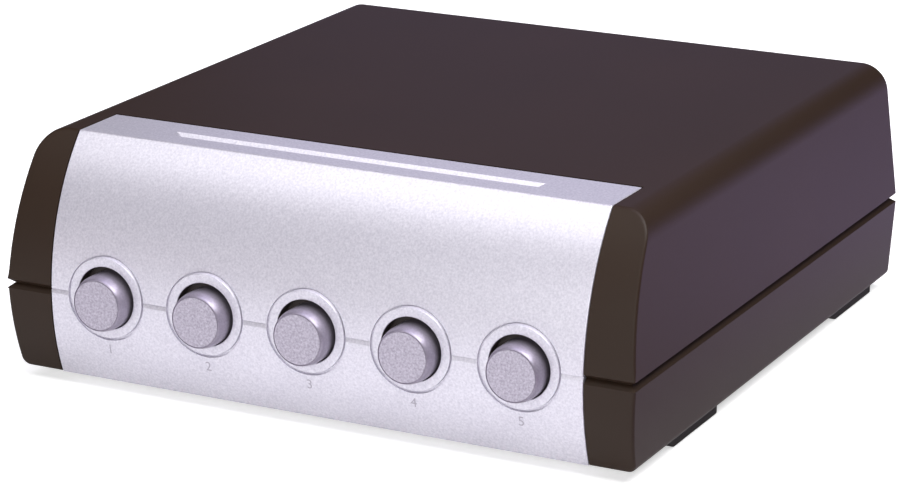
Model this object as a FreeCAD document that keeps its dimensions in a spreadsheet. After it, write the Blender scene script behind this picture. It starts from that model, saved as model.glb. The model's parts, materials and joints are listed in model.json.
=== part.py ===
import FreeCAD, Part
import Sketcher
import math
import os
import re

# Five-way speaker selector switch: a two-part moulded case, a silver front panel with five
# latching push buttons, two matching transformers, and six spring terminal blocks at the back.
# Drawing frame: X across, Y from the front towards the back, Z up, with the origin at the
# foremost point of the joint line between cover and base. Each sub-part's Placement moves it
# to the middle of the footprint, at the level that the feet stand on.

doc = FreeCAD.newDocument("SpeakerSelector")

sizes = {
    # case
    "caseWidth": 240.0,
    "caseDepth": 245.0,
    "coverHeight": 52.7,
    "baseHeight": 31.4,
    "caseWall": 3.0,
    "coverSideLean": 4.0,
    "coverBackLean": 6.5,
    "baseSideLean": 1.8,
    "baseBackLean": 0.8,
    "coverCorner": 10.0,
    "baseCorner": 3.0,
    "baseInside": 1.0,
    "frontRadius": 82.0,
    "frontLevel": -2.0,
    "jointDepth": 2.2,
    "jointHalf": 1.7,
    "panelGap": 0.3,
    "cheekRib": 2.4,
    # front panel
    "cheekWidth": 18.4,
    "fasciaWall": 2.5,
    "fasciaReturn": 14.0,
    "flangeBack": 44.5,
    "flangeGap": 0.8,
    "flangeSeat": 2.4,
    "grooveWidth": 137.0,
    "grooveMiddle": 1.5,
    "grooveFront": 29.0,
    "grooveBack": 34.0,
    "grooveDrop": 1.6,
    "seamGroove": 0.8,
    # push buttons
    "buttonMargin": 22.6,
    "ringLevel": 0.5,
    "ringRadius": 14.4,
    "ringProud": 0.4,
    "ringBack": 4.4,
    "holeRadius": 11.4,
    "buttonDrop": 1.0,
    "buttonReach": 6.0,
    "faceRadius": 9.5,
    "buttonRoot": 9.9,
    "faceEdge": 0.9,
    "collarRadius": 12.8,
    "collarDepth": 2.0,
    "stopGap": 0.3,
    "capWall": 1.6,
    "buttonTravel": 4.5,
    # latching switches
    "switchWidth": 12.0,
    "switchHeight": 11.0,
    "switchFront": 27.0,
    "switchDepth": 38.0,
    "plungerEntry": 22.8,
    "plungerSide": 3.2,
    "plungerGap": 0.08,
    "socketSide": 6.4,
    "plungerFlange": 7.6,
    "flangeDepth": 1.2,
    "springRadius": 3.4,
    "springWire": 0.5,
    # circuit board
    "boardOverhang": 19.0,
    "boardFront": 24.0,
    "boardBack": 108.0,
    "boardDepth": 1.6,
    "standoffInset": 8.0,
    "standoffFront": 33.0,
    "standoffBack": 100.0,
    "standoffRadius": 3.6,
    # screws
    "screwRadius": 1.5,
    "screwLength": 12.0,
    "screwGap": 0.06,
    "screwHead": 2.8,
    "headDepth": 2.0,
    "pillarInset": 10.0,
    "pillarFront": 25.0,
    "pillarBack": 175.0,
    "pillarRadius": 4.4,
    "seatLevel": 6.0,
    # feet
    "footHeight": 4.5,
    "footSink": 1.0,
    "footWidth": 11.0,
    "footLength": 48.0,
    "footSlope": 11.0,
    "footInset": 10.5,
    "footFront": 34.0,
    "footBack": 186.0,
    # terminal recess and terminal panel
    "recessWidth": 198.0,
    "recessDepth": 18.0,
    "recessTop": 42.0,
    "recessBottom": 25.6,
    "recessWall": 2.0,
    "plateDepth": 2.0,
    "plateLap": 3.5,
    "guideDepth": 2.2,
    # terminal blocks
    "blockCount": 6.0,
    "blockPitch": 31.0,
    "blockWidth": 28.0,
    "blockHeight": 46.0,
    "blockDepth": 9.0,
    "blockLevel": 8.0,
    "neckInset": 1.2,
    "neckStep": 2.0,
    "neckDepth": 14.0,
    "neckGap": 0.2,
    "blockWall": 2.0,
    "cellPitch": 12.6,
    "rowInset": 12.0,
    "leverWidth": 9.4,
    "leverGap": 0.3,
    "cellTop": 8.0,
    "cellBottom": 7.6,
    "slotBottom": 0.8,
    "pivotBack": 3.4,
    "pivotLevel": 4.6,
    "pivotRadius": 1.1,
    "pivotLength": 1.2,
    "pivotGap": 0.06,
    "hubRadius": 2.1,
    "tabReach": 13.6,
    "tabDepth": 2.4,
    "tabRise": 2.0,
    "tabBend": 8.4,
    "armReach": 9.4,
    "armDepth": 1.8,
    "wireRadius": 1.6,
    "wireLevel": -4.6,
    "tagWidth": 5.0,
    "tagDepth": 0.8,
    "tagTail": 6.0,
    # matching transformers
    "coreWidth": 48.0,
    "coreHeight": 40.0,
    "coreStack": 22.0,
    "coreLimb": 8.0,
    "coreX": 52.0,
    "coreY": 150.0,
    "coreSeat": 5.0,
    "coreGrip": 4.8,
    "coilGap": 0.3,
    "coilDepth": 7.0,
    "coilCorner": 3.0,
    "cradleWall": 2.0,
}

sheet = doc.addObject("Spreadsheet::Sheet", "dims")
for row, (alias, value) in enumerate(sizes.items(), start=1):
    sheet.set(f"A{row}", alias)
    sheet.set(f"B{row}", str(value))
    sheet.setAlias(f"B{row}", alias)
doc.recompute()

fasciaWidth = "(caseWidth - 2 * cheekWidth)"
buttonPitch = f"(({fasciaWidth} - 2 * buttonMargin) / 4)"
boardWidth = f"(4 * {buttonPitch} + 2 * boardOverhang)"
standoffX = f"({boardWidth} / 2 - standoffInset)"
pillarX = "(caseWidth / 2 - pillarInset)"
footX = "(caseWidth / 2 - footInset)"
neckWidth = "(blockWidth - 2 * neckInset)"
neckHeight = "(blockHeight - 2 * neckStep)"
rowPitch = "(blockHeight - 2 * rowInset)"

acrossTurn = FreeCAD.Rotation(FreeCAD.Vector(0, 1, 0), 90)
backTurn = FreeCAD.Rotation(FreeCAD.Vector(1, 0, 0), -90)
upright = FreeCAD.Rotation()


def size(alias):
    """A driving dimension, read back from the sheet."""
    return float(sheet.get(alias))


def formula(text):
    """Point each driving dimension named in the text at its cell."""
    return re.sub(r"[A-Za-z]\w*", lambda word: f"dims.{word.group(0)}", str(text))


def bind(thing, **formulas):
    for prop, text in formulas.items():
        thing.setExpression(prop, formula(text))


def place(thing, spot, turn=upright):
    """Put the object at a spot given as three formulas."""
    thing.Placement = FreeCAD.Placement(FreeCAD.Vector(), turn)
    for axis, text in zip("xyz", spot):
        thing.setExpression(f"Placement.Base.{axis}", formula(text))


def box(name, spot, length, width, height):
    solid = doc.addObject("Part::Box", name)
    bind(solid, Length=length, Width=width, Height=height)
    place(solid, spot)
    return solid


def midBox(name, middle, width, front, depth, low, height):
    """A box given by its middle across, its front and its underside."""
    return box(name, (f"{middle} - ({width}) / 2", front, low), width, depth, height)


def rod(name, spot, radius, length, turn=upright):
    """A cylinder whose axis starts at the spot."""
    solid = doc.addObject("Part::Cylinder", name)
    bind(solid, Radius=radius, Height=length)
    place(solid, spot, turn)
    return solid


def prism(name, sides, spot, radius, length):
    """A bar of equal sides that runs across."""
    bar = doc.addObject("Part::Prism", name)
    bar.Polygon = sides
    bind(bar, Circumradius=radius, Height=length)
    place(bar, spot, acrossTurn)
    return bar


def taperBlock(name, low, high, lowHalf, highHalf, back, highBack, lowFront="0", highFront="0",
               middle="0"):
    """A block between two levels whose sides, back and front may lean."""
    block = doc.addObject("Part::Wedge", name)
    bind(block, Ymin=f"-({high})", Ymax=f"-({low})",
         Xmin=f"-({highHalf})", Xmax=highHalf, X2min=f"-({lowHalf})", X2max=lowHalf,
         Zmin=highFront, Zmax=highBack, Z2min=lowFront, Z2max=back)
    place(block, (middle, "0", "0"), backTurn)
    return block


def fuse(name, shapes):
    joined = doc.addObject("Part::MultiFuse", name)
    joined.Shapes = shapes
    return joined


def cut(name, base, tools):
    """Take one or more tools away from the base."""
    rest = doc.addObject("Part::Cut", name)
    rest.Base = base
    rest.Tool = tools[0] if len(tools) == 1 else fuse(f"{name}Tools", tools)
    return rest


def common(name, first, second):
    kept = doc.addObject("Part::Common", name)
    kept.Base = first
    kept.Tool = second
    return kept


def fillet(name, base, radius, wanted):
    """Round the edges of the base for which wanted(edge) holds."""
    doc.recompute()
    edges = [number for number, edge in enumerate(base.Shape.Edges, start=1) if wanted(edge)]
    rounded = doc.addObject("Part::Fillet", name)
    rounded.Base = base
    rounded.Edges = [(number, radius, radius) for number in edges]
    return rounded


def moved(name, shapes, spot, turn=upright):
    """Shapes taken together and moved to a spot."""
    repeat = doc.addObject("Part::Compound", name)
    repeat.Links = shapes
    place(repeat, spot, turn)
    return repeat


def outlineBody(name, plane, outline):
    """A body with a sketch of straight runs, whose corners are pairs of formulas."""
    body = doc.addObject("PartDesign::Body", name)
    sketch = body.newObject("Sketcher::SketchObject", f"{name}Sketch")
    base = next(item for item in body.Origin.OriginFeatures if item.Role == plane)
    sketch.AttachmentSupport = [(base, "")]
    sketch.MapMode = "FlatFace"
    count = len(outline)
    ring = [FreeCAD.Vector(math.cos(turn), math.sin(turn), 0)
            for turn in (2 * math.pi * number / count for number in range(count + 1))]
    for first, second in zip(ring, ring[1:]):
        sketch.addGeometry(Part.LineSegment(first, second))
    for number in range(count):
        sketch.addConstraint(
            Sketcher.Constraint("Coincident", number, 2, (number + 1) % count, 1))
    for number, (across, along) in enumerate(outline):
        for kind, axis, text in (("DistanceX", -2, across), ("DistanceY", -1, along)):
            if text == "0":
                sketch.addConstraint(Sketcher.Constraint("PointOnObject", number, 1, axis))
            else:
                index = sketch.addConstraint(Sketcher.Constraint(kind, -1, 1, number, 1, 1.0))
                sketch.setExpression(f"Constraints[{index}]", formula(text))
    return body, sketch


def paddedBody(name, plane, outline, thickness):
    """An outline padded half to each side of its plane."""
    body, sketch = outlineBody(name, plane, outline)
    pad = body.newObject("PartDesign::Pad", f"{name}Pad")
    pad.Profile = sketch
    pad.setExpression("Length", formula(thickness))
    pad.Midplane = True
    body.Tip = pad
    return body


def turnedBody(name, plane, outline):
    """An outline turned once about its upright axis."""
    body, sketch = outlineBody(name, plane, outline)
    turning = body.newObject("PartDesign::Revolution", f"{name}Turn")
    turning.Profile = sketch
    turning.ReferenceAxis = (sketch, ["V_Axis"])
    turning.Angle = 360
    body.Tip = turning
    return body


nodes = []


def node(name, *shapes):
    """Name a finished sub-part and stand it in the part's own frame."""
    piece = doc.addObject("Part::Compound", f"{name}_node")
    piece.Label = name
    piece.Links = list(shapes)
    place(piece, ("0", "-(caseDepth - buttonReach - ringProud) / 2", "baseHeight + footHeight"))
    nodes.append(piece)


# ---------------------------------------------------------------- forms shared by the case

def frontForm(name, inset):
    """Everything behind the barrel-shaped front, or behind its inner face."""
    barrel = rod(f"{name}Barrel", ("-caseWidth", "frontRadius", "frontLevel"),
                 f"frontRadius - {inset}", "2 * caseWidth", acrossTurn)
    behind = box(f"{name}Behind", ("-caseWidth", "frontRadius", "-caseWidth"),
                 "2 * caseWidth", "caseDepth", "2 * caseWidth")
    return fuse(name, [barrel, behind])


def runsBack(edge):
    """True for the long edges that run from the front to the back."""
    return edge.BoundBox.YLength > size("caseDepth") / 2


def highEdge(edge):
    return runsBack(edge) and edge.BoundBox.ZMax > size("coverHeight") / 2


def lowEdge(edge):
    return runsBack(edge) and edge.BoundBox.ZMin < -size("baseHeight") / 2


def coverForm(name, inset, radius):
    block = taperBlock(f"{name}Block", "0", f"coverHeight - {inset}",
                       f"caseWidth / 2 - {inset}", f"caseWidth / 2 - coverSideLean - {inset}",
                       f"caseDepth - {inset}", f"caseDepth - coverBackLean - {inset}")
    rounded = fillet(f"{name}Round", block, radius, highEdge)
    return common(name, rounded, frontForm(f"{name}Front", inset))


def baseForm(name, inset, radius):
    block = taperBlock(f"{name}Block", f"-(baseHeight - {inset})", "0",
                       f"caseWidth / 2 - baseSideLean - {inset}", f"caseWidth / 2 - {inset}",
                       f"caseDepth - baseBackLean - {inset}", f"caseDepth - {inset}")
    rounded = fillet(f"{name}Round", block, radius, lowEdge)
    return common(name, rounded, frontForm(f"{name}Front", inset))


def jointBevel(name, low, high, lowInset, highInset):
    """What is taken off a case half so that the joint line reads as a V groove."""
    around = midBox(f"{name}Around", "0", "2 * caseWidth", "-caseWidth", "3 * caseWidth",
                    low, "jointHalf")
    kept = taperBlock(f"{name}Kept", low, high, f"caseWidth / 2 - {lowInset}",
                      f"caseWidth / 2 - {highInset}", f"caseDepth - {lowInset}",
                      f"caseDepth - {highInset}", lowInset, highInset)
    return cut(name, around, [kept])


def bothSides(make):
    """The same thing made on the left and on the right."""
    return [make(side, word) for side, word in ((-1, "Left"), (1, "Right"))]


def corners(make):
    """The same thing made at the four screw places of the case."""
    return [make(side, alias) for side in (-1, 1) for alias in ("pillarFront", "pillarBack")]


def cheekRibs(name, low, height):
    """Walls beside the front panel that close the two cheeks."""
    return bothSides(lambda side, word: midBox(
        f"{name}{word}", f"{side} * ({fasciaWidth} / 2 + panelGap + cheekRib / 2)", "cheekRib",
        "0", "flangeBack + flangeGap", low, height))


def plateGuides(name, low, height):
    """Webs that hold the terminal plate against the recess frame."""
    return bothSides(lambda side, word: midBox(
        f"{name}{word}", f"{side} * (recessWidth + caseWidth) / 4",
        "(caseWidth - recessWidth) / 2 - 2 * panelGap",
        "caseDepth - recessDepth - plateDepth - panelGap - guideDepth", "guideDepth",
        low, height))


def recessSleeve(name, low, height):
    return midBox(name, "0", "recessWidth + 2 * recessWall", "caseDepth - recessDepth",
                  "recessDepth", low, height)


def recessOpening(name, low, height):
    return midBox(name, "0", "recessWidth", "caseDepth - recessDepth", "2 * recessDepth",
                  low, height)


def fasciaOpening(name, depth, low, height):
    return midBox(name, "0", f"{fasciaWidth} + 2 * panelGap", "-caseWidth",
                  f"caseWidth + {depth}", low, height)


# ---------------------------------------------------------------- cover

coverOuter = coverForm("coverOuter", "0", size("coverCorner"))
coverInner = coverForm("coverInner", "caseWall", size("coverCorner") - size("caseWall"))
coverShell = cut("coverShell", coverOuter, [coverInner])
coverFittings = fuse("coverFittings", [
    *cheekRibs("coverCheek", "0", "coverHeight"),
    *plateGuides("coverGuide", "0", "coverHeight"),
    recessSleeve("coverSleeve", "0", "recessTop + recessWall"),
    *corners(lambda side, alias: rod(f"coverPillar{alias}{side + 1}",
                                     (f"{side} * {pillarX}", alias, "0"),
                                     "pillarRadius", "coverHeight")),
])
coverMoulding = fuse("coverMoulding", [
    coverShell,
    common("coverFitted", coverOuter, coverFittings),
])
coverLedge = midBox("coverLedge", "0", f"{fasciaWidth} + 2 * panelGap + 2 * cheekRib",
                    "flangeBack - 2 * flangeSeat", "3 * flangeSeat + flangeGap",
                    "coverHeight - fasciaWall - flangeSeat", "flangeSeat")
coverOpen = cut("coverOpen", coverMoulding, [
    fasciaOpening("coverFascia", "flangeBack + flangeGap", "-1", "coverHeight + 2"),
    recessOpening("coverRecess", "-1", "recessTop + 1"),
    jointBevel("coverBevel", "0", "jointHalf", "jointDepth", "0"),
    *corners(lambda side, alias: rod(f"coverPilot{alias}{side + 1}",
                                     (f"{side} * {pillarX}", alias, "-1"),
                                     "screwRadius + screwGap", "screwLength - seatLevel + 2")),
])
node("upper_cover", fuse("cover", [coverOpen, coverLedge]))

# ---------------------------------------------------------------- base

boardTop = "(ringLevel - buttonDrop - switchHeight / 2)"
boardUnder = f"({boardTop} - boardDepth)"
floorTop = "-(baseHeight - caseWall)"


def standoffs(make):
    return [make(f"{side} * {standoffX}", alias, f"{alias}{side + 1}")
            for side in (-1, 1) for alias in ("standoffFront", "standoffBack")]


def cradle(side, word):
    """A tray on the floor that a transformer core stands in."""
    rim = "2 * panelGap + 2 * cradleWall"
    tray = midBox(f"tray{word}", f"{side} * coreX", f"coreWidth + {rim}",
                  "coreY - coreStack / 2 - panelGap - cradleWall", f"coreStack + {rim}",
                  floorTop, "coreSeat + coreGrip")
    seat = midBox(f"traySeat{word}", f"{side} * coreX", "coreWidth + 2 * panelGap",
                  "coreY - coreStack / 2 - panelGap", "coreStack + 2 * panelGap",
                  f"{floorTop} + coreSeat", "coreLimb")
    return cut(f"cradle{word}", tray, [seat])


footRows = ("footFront", "footBack")
baseOuter = baseForm("baseOuter", "0", size("baseCorner"))
baseInner = baseForm("baseInner", "caseWall", size("baseInside"))
baseShell = cut("baseShell", baseOuter, [baseInner])
baseFittings = fuse("baseFittings", [
    *cheekRibs("baseCheek", "-baseHeight", "baseHeight"),
    *plateGuides("baseGuide", "-baseHeight", "baseHeight"),
    recessSleeve("baseSleeve", "-baseHeight", "baseHeight"),
    *corners(lambda side, alias: rod(f"basePillar{alias}{side + 1}",
                                     (f"{side} * {pillarX}", alias, "-baseHeight"),
                                     "pillarRadius", "baseHeight")),
    *standoffs(lambda across, along, tail: rod(
        f"standoff{tail}", (across, along, "-baseHeight"), "standoffRadius",
        f"baseHeight + {boardUnder}")),
    *bothSides(cradle),
])
baseMoulding = fuse("baseMoulding", [
    baseShell,
    common("baseFitted", baseOuter, baseFittings),
])
base = cut("base", baseMoulding, [
    fasciaOpening("baseFascia", "fasciaReturn + panelGap", "-2 * baseHeight", "3 * baseHeight"),
    recessOpening("baseRecess", "-recessBottom", "recessBottom + 1"),
    jointBevel("baseBevel", "-jointHalf", "0", "0", "jointDepth"),
    *corners(lambda side, alias: rod(f"baseClear{alias}{side + 1}",
                                     (f"{side} * {pillarX}", alias, "-baseHeight"),
                                     "screwRadius + screwGap", "baseHeight + 1")),
    *corners(lambda side, alias: rod(f"baseCounter{alias}{side + 1}",
                                     (f"{side} * {pillarX}", alias, "-2 * baseHeight"),
                                     "screwHead + panelGap", "2 * baseHeight - seatLevel")),
    *standoffs(lambda across, along, tail: rod(
        f"boardPilot{tail}", (across, along, f"{boardUnder} - screwLength"),
        "screwRadius + screwGap", "screwLength + 1")),
    *[midBox(f"footPocket{alias}{side + 1}", f"{side} * {footX}", "footWidth + 2 * panelGap",
             f"{alias} - panelGap", "footLength + 2 * panelGap",
             "-baseHeight - 1", "footSink + 1")
      for side in (-1, 1) for alias in footRows],
])
node("lower_base", base)

# ---------------------------------------------------------------- feet

foot = paddedBody("foot", "YZ_Plane", (
    ("0", "footSink"),
    ("0", "0"),
    ("footSlope", "-footHeight"),
    ("footLength", "-footHeight"),
    ("footLength", "footSink"),
), "footWidth")
node("rubber_feet", *[
    moved(f"foot{alias}{side + 1}", [foot], (f"{side} * {footX}", alias, "-baseHeight"))
    for side in (-1, 1) for alias in footRows])

# ---------------------------------------------------------------- front panel

buttonSpots = [(f"{number - 3} * {buttonPitch}", number) for number in range(1, 6)]
fasciaOuter = common("fasciaOuter", midBox(
    "fasciaBlock", "0", fasciaWidth, "-1", "flangeBack + 1", "-baseHeight",
    "coverHeight + baseHeight"), frontForm("fasciaFront", "0"))
fasciaInner = common("fasciaInner", midBox(
    "fasciaHollow", "0", f"{fasciaWidth} - 2 * fasciaWall", "-1", "flangeBack + 2",
    "fasciaWall - baseHeight", "coverHeight + baseHeight - 2 * fasciaWall"),
    frontForm("fasciaBack", "fasciaWall"))
fasciaBehind = common("fasciaBehind", midBox(
    "fasciaBehindBlock", "0", f"2 * {fasciaWidth}", "fasciaReturn", "flangeBack", "-2 * baseHeight",
    "coverHeight + 2 * baseHeight - fasciaWall"), frontForm("fasciaBehindFront", "fasciaWall"))
topGroove = taperBlock("topGroove", "coverHeight - grooveDrop", "coverHeight",
                       "grooveWidth / 2 - 2 * grooveDrop", "grooveWidth / 2",
                       "grooveBack - grooveDrop", "grooveBack", "grooveFront", "grooveFront",
                       "grooveMiddle")
jointGroove = prism("jointGroove", 4, (f"-{fasciaWidth}", "0", "0"), "seamGroove",
                    f"2 * {fasciaWidth}")
fasciaSkin = cut("fasciaSkin", fasciaOuter, [fasciaInner, fasciaBehind, topGroove, jointGroove])
rings = [rod(f"ring{number}", (across, "-ringProud", "ringLevel"), "ringRadius",
             "ringProud + ringBack", backTurn) for across, number in buttonSpots]
holes = [rod(f"hole{number}", (across, "-2 * ringProud", "ringLevel"), "holeRadius",
             "2 * ringProud + 2 * ringBack", backTurn) for across, number in buttonSpots]
node("front_panel", cut("fascia", fuse("fasciaRinged", [fasciaSkin, *rings]), holes))

# ---------------------------------------------------------------- push buttons and switches

buttonLevel = "(ringLevel - buttonDrop)"
faceFront = "-(ringProud + buttonReach)"
collarFront = "(ringBack + stopGap)"
collarBack = f"({collarFront} + collarDepth)"
cap = turnedBody("cap", "XY_Plane", (
    ("0", faceFront),
    ("faceRadius - faceEdge", faceFront),
    ("faceRadius", f"{faceFront} + faceEdge"),
    ("buttonRoot", "-ringProud"),
    ("buttonRoot", collarFront),
    ("collarRadius", collarFront),
    ("collarRadius", collarBack),
    ("faceRadius - capWall", collarBack),
    ("faceRadius - capWall", f"{faceFront} + capWall"),
    ("0", f"{faceFront} + capWall"),
))
socketBack = f"({collarBack} + collarDepth)"
plungerFront = f"({faceFront} + 3 * capWall)"
bore = "plungerSide + 2 * plungerGap"
capSocket = cut("capSocket", midBox(
    "socketBlock", "0", "socketSide", f"{faceFront} + capWall",
    f"{socketBack} - {faceFront} - capWall", "-socketSide / 2", "socketSide"), [
    midBox("socketBore", "0", bore, f"{plungerFront} - plungerGap",
           f"{socketBack} - {faceFront}", f"-({bore}) / 2", bore)])
button = fuse("button", [cap, capSocket])

plunger = fuse("plunger", [
    midBox("plungerBar", "0", "plungerSide", plungerFront,
           f"switchFront + plungerEntry - {plungerFront}", "-plungerSide / 2", "plungerSide"),
    midBox("plungerFlange", "0", "plungerFlange", socketBack, "flangeDepth",
           "-plungerFlange / 2", "plungerFlange"),
])
springFront = f"({socketBack} + flangeDepth)"
spring = cut("spring", rod("springOuter", ("0", springFront, "0"), "springRadius",
                           f"switchFront - {springFront}", backTurn), [
    rod("springInner", ("0", f"{springFront} - 1", "0"), "springRadius - springWire",
        f"switchFront - {springFront} + 2", backTurn)])
switchBody = cut("switchBody", midBox(
    "switchBlock", "0", "switchWidth", "switchFront", "switchDepth", "-switchHeight / 2",
    "switchHeight"), [
    midBox("switchBore", "0", bore, "switchFront - 1", "plungerEntry + buttonTravel + 2",
           f"-({bore}) / 2", bore)])

for across, number in buttonSpots:
    for name, shape in (("button", button), ("switch_plunger", plunger),
                        ("switch_spring", spring), ("switch_body", switchBody)):
        node(f"{name}_{number}", moved(f"{name}Moved{number}", [shape],
                                       (across, "0", buttonLevel)))

# ---------------------------------------------------------------- circuit board and screws

board = cut("board", midBox("boardBlank", "0", boardWidth, "boardFront",
                            "boardBack - boardFront", boardUnder, "boardDepth"),
            standoffs(lambda across, along, tail: rod(
                f"boardHole{tail}", (across, along, f"{boardUnder} - 1"),
                "screwRadius + screwGap", "boardDepth + 2")))
node("circuit_board", board)

screw = fuse("screw", [
    rod("screwShank", ("0", "0", "0"), "screwRadius", "screwLength"),
    rod("screwTop", ("0", "0", "-headDepth"), "screwHead", "headDepth"),
])
overTurn = FreeCAD.Rotation(FreeCAD.Vector(1, 0, 0), 180)
node("screws", *corners(lambda side, alias: moved(
    f"caseScrew{alias}{side + 1}", [screw], (f"{side} * {pillarX}", alias, "-seatLevel"))),
    *standoffs(lambda across, along, tail: moved(
        f"boardScrew{tail}", [screw], (across, along, boardTop), overTurn)))

# ---------------------------------------------------------------- matching transformers

coreLow = f"({floorTop} + coreSeat)"


def core(side, word):
    """A stack of E and I laminations with its limbs upright."""
    windows = [midBox(f"window{word}{hand + 1}",
                      f"{side} * coreX + {hand} * (coreWidth / 4)",
                      "coreWidth / 2 - 2 * coreLimb", "coreY - coreStack", "2 * coreStack",
                      f"{coreLow} + coreLimb", "coreHeight - 2 * coreLimb")
               for hand in (-1, 1)]
    stack = midBox(f"stack{word}", f"{side} * coreX", "coreWidth", "coreY - coreStack / 2",
                   "coreStack", coreLow, "coreHeight")
    return cut(f"core{word}", stack, windows)


def coil(side, word):
    """The winding round the middle limb."""
    block = midBox(f"coilBlock{word}", f"{side} * coreX",
                   "coreWidth - 2 * coreLimb - 2 * coilGap", "coreY - coreStack / 2 - coilDepth",
                   "coreStack + 2 * coilDepth", f"{coreLow} + coreLimb + coilGap",
                   "coreHeight - 2 * coreLimb - 2 * coilGap")
    rounded = fillet(f"coilRound{word}", block, size("coilCorner"),
                     lambda edge: edge.BoundBox.ZLength > size("coreLimb"))
    limb = midBox(f"limbRoom{word}", f"{side} * coreX", "2 * coreLimb + 2 * coilGap",
                  "coreY - coreStack / 2 - coilGap", "coreStack + 2 * coilGap", coreLow,
                  "coreHeight")
    return cut(f"coil{word}", rounded, [limb])


node("transformer_cores", *bothSides(core))
node("transformer_windings", *bothSides(coil))

# ---------------------------------------------------------------- terminal plate and blocks

plateBack = "(caseDepth - recessDepth)"
blockSpots = [(f"({number} - (blockCount - 1) / 2) * blockPitch", name) for number, name
              in enumerate(("amp", "pair_1", "pair_2", "pair_3", "pair_4", "pair_5"))]
plate = cut("plate", midBox(
    "plateBlank", "0", "recessWidth + 2 * plateLap", f"{plateBack} - plateDepth", "plateDepth",
    floorTop, f"recessTop + plateLap - ({floorTop})"), [
    midBox(f"plateWindow_{name}", across, f"{neckWidth} + 2 * neckGap",
           f"{plateBack} - 2 * plateDepth", "3 * plateDepth",
           f"blockLevel - {neckHeight} / 2 - neckGap", f"{neckHeight} + 2 * neckGap")
    for across, name in blockSpots])
node("terminal_plate", plate)

cells = [(f"({hand} * cellPitch / 2)", f"({row} * {rowPitch} / 2)", f"{sideName}_{pole}")
         for row, sideName in ((1, "left"), (-1, "right"))
         for hand, pole in ((-1, "plus"), (1, "minus"))]
cellWidth = "leverWidth + 2 * leverGap"


def cellCuts(across, level, tail):
    """The room for one lever, its slot, its pivot pockets, and the wire and tag holes."""
    return [
        midBox(f"cell_{tail}", across, cellWidth, "blockWall - neckDepth",
               "neckDepth + blockDepth - 2 * blockWall", f"{level} - cellBottom",
               "cellBottom + cellTop"),
        midBox(f"slot_{tail}", across, cellWidth, "0", "2 * blockDepth",
               f"{level} + slotBottom", "pivotLevel + tabDepth / 2 + leverGap - slotBottom"),
        midBox(f"pivotRoom_{tail}", across, "leverWidth + 2 * pivotLength + leverGap",
               "pivotBack - pivotRadius - pivotGap", "2 * pivotRadius + 2 * pivotGap",
               f"{level} + pivotLevel - pivotRadius - pivotGap",
               "2 * pivotRadius + 2 * pivotGap"),
        rod(f"wireHole_{tail}", (across, "0", f"{level} + wireLevel"), "wireRadius",
            "2 * blockDepth", backTurn),
        midBox(f"tagHole_{tail}", across, "tagWidth + 2 * pivotGap", "-2 * neckDepth",
               "2 * neckDepth", f"{level} - cellBottom", "tagDepth + pivotGap"),
    ]


block = cut("block", fuse("blockForm", [
    midBox("blockFace", "0", "blockWidth", "0", "blockDepth", "-blockHeight / 2", "blockHeight"),
    midBox("blockNeck", "0", neckWidth, "-neckDepth", "neckDepth + blockDepth / 2",
           f"-{neckHeight} / 2", neckHeight),
]), [tool for cell in cells for tool in cellCuts(*cell)])

pinSides = 12
tab = paddedBody("tab", "YZ_Plane", (
    ("0", "-tabDepth / 2"),
    ("tabBend", "-tabDepth / 2"),
    ("tabReach", "tabRise - tabDepth / 2"),
    ("tabReach", "tabRise + tabDepth / 2"),
    ("tabBend", "tabDepth / 2"),
    ("0", "tabDepth / 2"),
), "leverWidth")
lever = fuse("lever", [
    tab,
    rod("leverHub", ("-leverWidth / 2", "0", "0"), "hubRadius", "leverWidth", acrossTurn),
    prism("leverPins", pinSides, ("-leverWidth / 2 - pivotLength", "0", "0"), "pivotRadius",
          "leverWidth + 2 * pivotLength"),
    midBox("leverArm", "0", "leverWidth", "-armDepth / 2", "armDepth", "-armReach", "armReach"),
])
tag = midBox("tag", "0", "tagWidth", "-neckDepth - tagTail",
             "neckDepth + tagTail + blockDepth - 2 * blockWall", "0", "tagDepth")

tags = []
for across, name in blockSpots:
    node(f"terminal_block_{name}", moved(f"blockMoved_{name}", [block],
                                         (across, plateBack, "blockLevel")))
    for cellAcross, level, tail in cells:
        middle = f"{across} + {cellAcross}"
        node(f"lever_{name}_{tail}", moved(
            f"leverMoved_{name}_{tail}", [lever],
            (middle, f"{plateBack} + pivotBack", f"blockLevel + {level} + pivotLevel")))
        tags.append(moved(f"tagMoved_{name}_{tail}", [tag],
                          (middle, plateBack, f"blockLevel + {level} - cellBottom")))
node("contact_tags", *tags)

# ---------------------------------------------------------------- check and write

doc.recompute()
for thing in doc.Objects:
    if "Invalid" in thing.State or "Error" in thing.State:
        raise RuntimeError(f"{thing.Label} failed: {thing.State}")
os.makedirs("parts", exist_ok=True)
for piece in nodes:
    if piece.Shape.isNull() or not piece.Shape.isValid():
        raise RuntimeError(f"{piece.Label} has no valid shape")
    piece.Shape.exportStep(f"parts/{piece.Label}.step")
    print(piece.Label, len(piece.Shape.Solids), round(piece.Shape.Volume))
print(len(nodes), "sub-parts")
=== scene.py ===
import bpy
import bmesh
import json
import math
from mathutils import Matrix, Vector


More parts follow.
